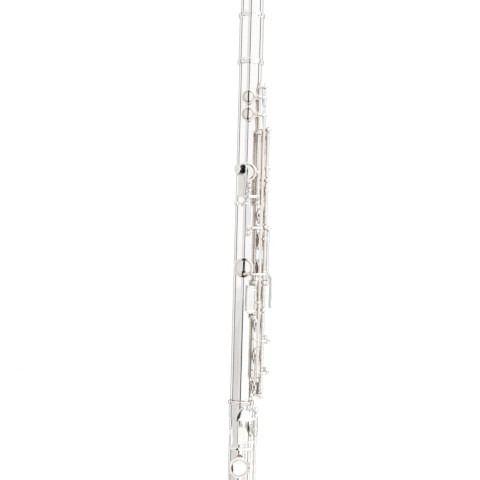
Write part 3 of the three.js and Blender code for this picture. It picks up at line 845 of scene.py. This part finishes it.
# ---- head joint ----
head_profile = [
    (BORE_R - 0.1, HEAD_LOW), (TENON_R - 0.15, HEAD_LOW), (TENON_R, HEAD_LOW + 0.4),
    (TUBE_R, BARREL_HIGH), (HEAD_TOP_R, HEAD_HIGH), (HEAD_TOP_R - 0.5, HEAD_HIGH),
    (BORE_R, BARREL_HIGH),
]
head_spun = spun(head_profile, sides=TUBE_SIDES, loop=True)
head = make("head_tube", [head_spun], SILVER, "head_joint", ["head_tube"])
blow_rings = []
for out in (2, 14):
    blow_rings.append([
        Vector((BLOW_ACROSS * math.cos(a), -out, BLOW_Z + BLOW_ALONG * math.sin(a)))
        for a in circle(64)
    ])
cut(head, [stacked(blow_rings)])


def lip_point(turn, share, out):
    """A point of the lip plate: share runs from the blow hole's edge to the plate's edge."""
    c, s = math.cos(turn), math.sin(turn)
    inner = (BLOW_ACROSS * c, BLOW_ALONG * s)
    outer = (
        math.copysign(abs(c) ** 0.8, c) * LIP_ACROSS,
        math.copysign(abs(s) ** 0.9, s) * LIP_ALONG,
    )
    across, lengthwise = (i + (o - i) * share for i, o in zip(inner, outer))
    a = across / LIP_BEND_R
    return Vector((-out * math.sin(a), -out * math.cos(a), BLOW_Z + lengthwise))


# (share of the way from the blow hole to the plate's edge, distance from the tube's centre line)
LIP_SECTION = [
    (0, 13.5), (0, 14.0), (0.02, 14.45), (0.08, 14.7), (0.2, 14.75), (0.45, 14.65), (0.7, 14.4),
    (0.88, 14.1), (0.97, 13.85), (1.0, 13.6), (0.985, 13.4), (0.9, 13.35), (0.5, 13.4),
    (0.1, 13.4), (0, 13.5),
]
lip_rings = [[lip_point(a, share, out) for a in circle(72)] for share, out in LIP_SECTION]
lip = stacked(lip_rings, closed_ends=False)
make("lip_plate", [lip], SILVER, "head_joint", ["lip_plate"])
riser_rings = []
for out, grow in ((9.3, 1.6), (10.4, 1.15), (12, 1.1), (13.45, 1.5), (13.45, 0), (9.3, 0)):
    ring = []
    for a in circle(64):
        x, z = (BLOW_ACROSS + grow) * math.cos(a), (BLOW_ALONG + grow) * math.sin(a)
        drop = 0 if 10 < out < 13 else out - math.sqrt(max(out * out - x * x, 1))
        ring.append(Vector((x, -(out - drop), BLOW_Z + z)))
    riser_rings.append(ring)
riser = stacked(riser_rings + riser_rings[:1], closed_ends=False)
make("lip_riser", [riser], SILVER, "head_joint", ["lip_riser"])

crown_profile = [
    (0, 641), (8.1, 641), (8.1, 647.3), (9.5, 647.3), (9.9, 647.7), (10.1, 648.6), (9.8, 649.7),
    (9.2, 650.4), (9.0, 651), (9.3, 651.8), (9.7, 652.8), (9.75, 654.5), (9.5, 656.2),
    (8.9, 657.4), (8.0, 658.4), (7.4, 658.9), (7.1, 659.5), (5.6, 660.6), (3.4, 661.6),
    (1.6, 661.95), (0, 662),
]
make("crown", [spun(crown_profile, sides=96)], SILVER, "crown_piece", ["crown"])
screw = spun([(0, 614), (7.9, 614), (8.1, 614.2), (8.1, 615.2), (1.5, 615.2), (1.5, 650), (0, 650)])
make("stopper_screw", [screw], STEEL, "stopper", ["stopper_screw"])
cork_profile = [(1.6, 615.6), (8.1, 615.6), (8.3, 616), (8.2, 628.6), (8, 629), (1.6, 629)]
cork = spun(cork_profile, loop=True)
make("stopper_cork", [cork], CORK, "stopper", ["stopper_cork"])
nut = spun([(1.6, 629.4), (5.2, 629.4), (5.2, 631.4), (1.6, 631.4)], sides=24, loop=True)
make("stopper_nut", [nut], SILVER, "stopper", ["stopper_nut"])

# ---- studio, in metres ----
CAMERA_ANGLE = 107
CAMERA_DISTANCE = 0.78

scene = bpy.context.scene
scene.view_settings.view_transform = "Standard"
world = bpy.data.worlds.new("studio")
scene.world = world
world.use_nodes = True
world.node_tree.nodes["Background"].inputs["Color"].default_value = (1, 1, 1, 1)
world.node_tree.nodes["Background"].inputs["Strength"].default_value = 1.06


def sheet_of(name, points, faces, material):
    """A flat sheet of the studio."""
    mesh = bpy.data.meshes.new(name)
    mesh.from_pydata([tuple(p) for p in points], [], faces)
    mesh.materials.append(material)
    sheet = bpy.data.objects.new(name, mesh)
    bpy.context.collection.objects.link(sheet)
    return sheet


floor_material, floor_tree, floor_shader = node_tree("pale floor")
floor_shader.inputs["Base Color"].default_value = (0.97, 0.97, 0.97, 1)
floor_rough = ranged(floor_tree, noise(floor_tree, 12), 0.6, 0.75)
floor_tree.links.new(floor_rough, floor_shader.inputs["Roughness"])
floor_corners = [(-4, -4, 0), (4, -4, 0), (4, 4, 0), (-4, 4, 0)]
sheet_of("floor", floor_corners, [(0, 1, 2, 3)], floor_material)


def card(angle, width, grey, distance=1.4, height=3.2, near=0.06, level=0.0015):
    """A grey card that shows only as a streak in the metal.

    It runs as a widening tongue along the floor from near to distance, at a level just over it, and
    stands up from there to its height. With no height it is the tongue alone.
    """
    material, tree, shader = node_tree("card")
    shader.inputs["Base Color"].default_value = (0, 0, 0, 1)
    shader.inputs["Roughness"].default_value = 1
    shader.inputs["Specular IOR Level"].default_value = 0
    shader.inputs["Emission Color"].default_value = (grey, grey * 0.985, grey * 0.97, 1)
    shader.inputs["Emission Strength"].default_value = 1
    n = outward(angle)
    across = Vector((-n.y, n.x, 0))
    tip = width / 2 * near / distance
    points = [
        n * near - across * tip, n * near + across * tip,
        n * distance + across * width / 2, n * distance - across * width / 2,
    ]
    points = [p + Vector((0, 0, level)) for p in points]
    faces = [(0, 1, 2, 3)]
    if height:
        points += [p + Vector((0, 0, height)) for p in points[2:]]
        faces.append((3, 2, 4, 5))
    sheet = sheet_of("card", points, faces, material)
    sheet.visible_camera = False
    sheet.visible_diffuse = False
    sheet.visible_shadow = False


# the dark streak with its foot, the pale band beside it, three steps of grey floor further round,
# and the cards at the sides and behind: (angle from the camera, then what card() takes)
for from_camera, *size in (
    (8, 0.15, 0.01),
    (9, 0.34, 0.01, 1.7, 0),
    (24, 0.55, 0.84),
    (68, 1.7, 0.76, 0.85, 0, 0.02, 0.001),
    (68, 3.4, 0.84, 1.7, 0, 0.02, 0.0007),
    (68, 6.4, 0.92, 3.2, 0, 0.02, 0.0004),
    (-92, 0.3, 0.25),
    (105, 0.32, 0.2),
    (-150, 0.9, 0.6),
    (150, 0.9, 0.6),
):
    card(CAMERA_ANGLE + from_camera, *size)

light_data = bpy.data.lights.new("soft box", "AREA")
light_data.size = 1.2
light_data.energy = 6
soft_box = bpy.data.objects.new("soft box", light_data)
soft_box.location = (-0.9, -1.0, 1.5)
aim = Vector((0, 0, 0.3)) - soft_box.location
soft_box.rotation_euler = aim.to_track_quat("-Z", "Y").to_euler()
bpy.context.collection.objects.link(soft_box)

# ---- camera ----
LEAN = math.radians(1.62)
EYE = 0.2445
camera_data = bpy.data.cameras.new("camera")
camera_data.lens = 66.7
camera_data.sensor_width = 36
camera_data.shift_x = -0.0102
camera_data.shift_y = 0.0563
camera = bpy.data.objects.new("camera", camera_data)
back = outward(CAMERA_ANGLE)
level_right = Vector((-back.y, back.x, 0))
rise = Vector((0, 0, 1))
right = level_right * math.cos(LEAN) + rise * math.sin(LEAN)
top = rise * math.cos(LEAN) - level_right * math.sin(LEAN)
eye = back * CAMERA_DISTANCE + Vector((0, 0, EYE))
camera.matrix_world = Matrix((
    (right.x, top.x, back.x, eye.x),
    (right.y, top.y, back.y, eye.y),
    (right.z, top.z, back.z, eye.z),
    (0, 0, 0, 1),
))
bpy.context.collection.objects.link(camera)
scene.camera = camera
